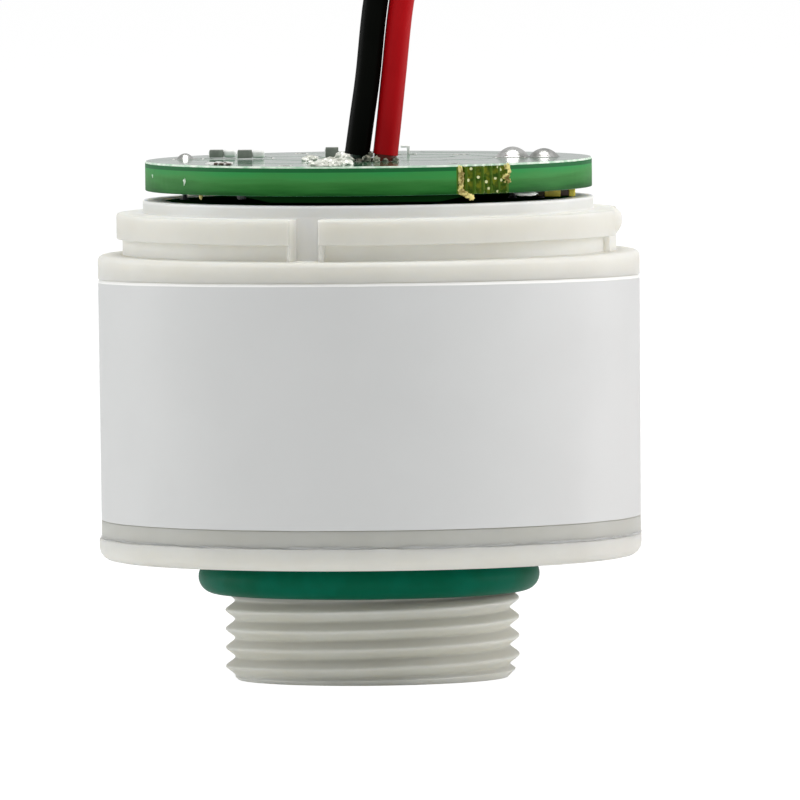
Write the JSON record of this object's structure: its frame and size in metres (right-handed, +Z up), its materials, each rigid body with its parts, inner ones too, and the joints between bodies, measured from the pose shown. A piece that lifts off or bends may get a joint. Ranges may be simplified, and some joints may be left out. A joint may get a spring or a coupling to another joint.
{
  "type": "oxygen sensor cell",
  "caption": "Round galvanic oxygen sensor cell with a threaded gas inlet, O-ring seal, top circuit board and a short twin lead ending in a small connector.",
  "frame": {"origin": "middle of the annular end face of the threaded inlet, on the surface the cell stands on", "axes": "+Z up along the cell's axis from the inlet to the board, -Y towards the side with the leads and the collar's slot, +X to the right of that side"},
  "size_m": [0.0628, 0.0362, 0.0534],
  "materials": {
    "warm_white_plastic": "satin moulded",
    "label_film": "satin film",
    "teal_rubber": "smooth",
    "black_rubber": "matt",
    "white_felt": "fibrous",
    "clear_film": "thin film",
    "gold_plate": "plated",
    "sintered_lead": "dull grey metal",
    "tinned_wire": "tinned",
    "solder": "bright solder",
    "black_resin": "cast resin",
    "green_board": "lacquered fibre board",
    "grey_chip": "ceramic",
    "brown_chip": "ceramic",
    "black_insulation": "soft cable sheath",
    "red_insulation": "soft cable sheath",
    "black_nylon": "moulded"
  },
  "bodies": {
    "root": {"base_cap": "warm_white_plastic", "housing_can": "warm_white_plastic", "o_ring": "teal_rubber", "label": "label_film", "dust_filter": "white_felt", "gas_membrane": "clear_film", "cathode": "gold_plate", "membrane_seal": "black_rubber", "clamp_ring": "warm_white_plastic", "separator_felt": "white_felt", "lead_anode": "sintered_lead", "upper_wick": "white_felt", "expansion_film": "clear_film", "bulkhead": "warm_white_plastic", "potting": "black_resin", "cathode_wire": "tinned_wire", "anode_wire": "tinned_wire", "circuit_board": "green_board", "pin_left": "tinned_wire", "pin_right_inner": "tinned_wire", "pin_right_outer": "tinned_wire", "pin_joint_left": "solder", "pin_joint_right_inner": "solder", "pin_joint_right_outer": "solder", "chip_left_back": "grey_chip", "chip_left_front": "grey_chip", "chip_middle": "grey_chip", "chip_right": "grey_chip", "thermistor": "brown_chip", "black_core": "solder", "black_joint": "solder", "red_core": "solder", "red_joint": "solder", "black_lead": "black_insulation", "red_lead": "red_insulation", "lead_coil": "black_insulation", "lead_tie": "black_rubber", "black_tail": "black_insulation", "red_tail": "red_insulation", "connector_housing": "black_nylon", "black_contact": "tinned_wire", "red_contact": "tinned_wire"}
  },
  "joints": []
}
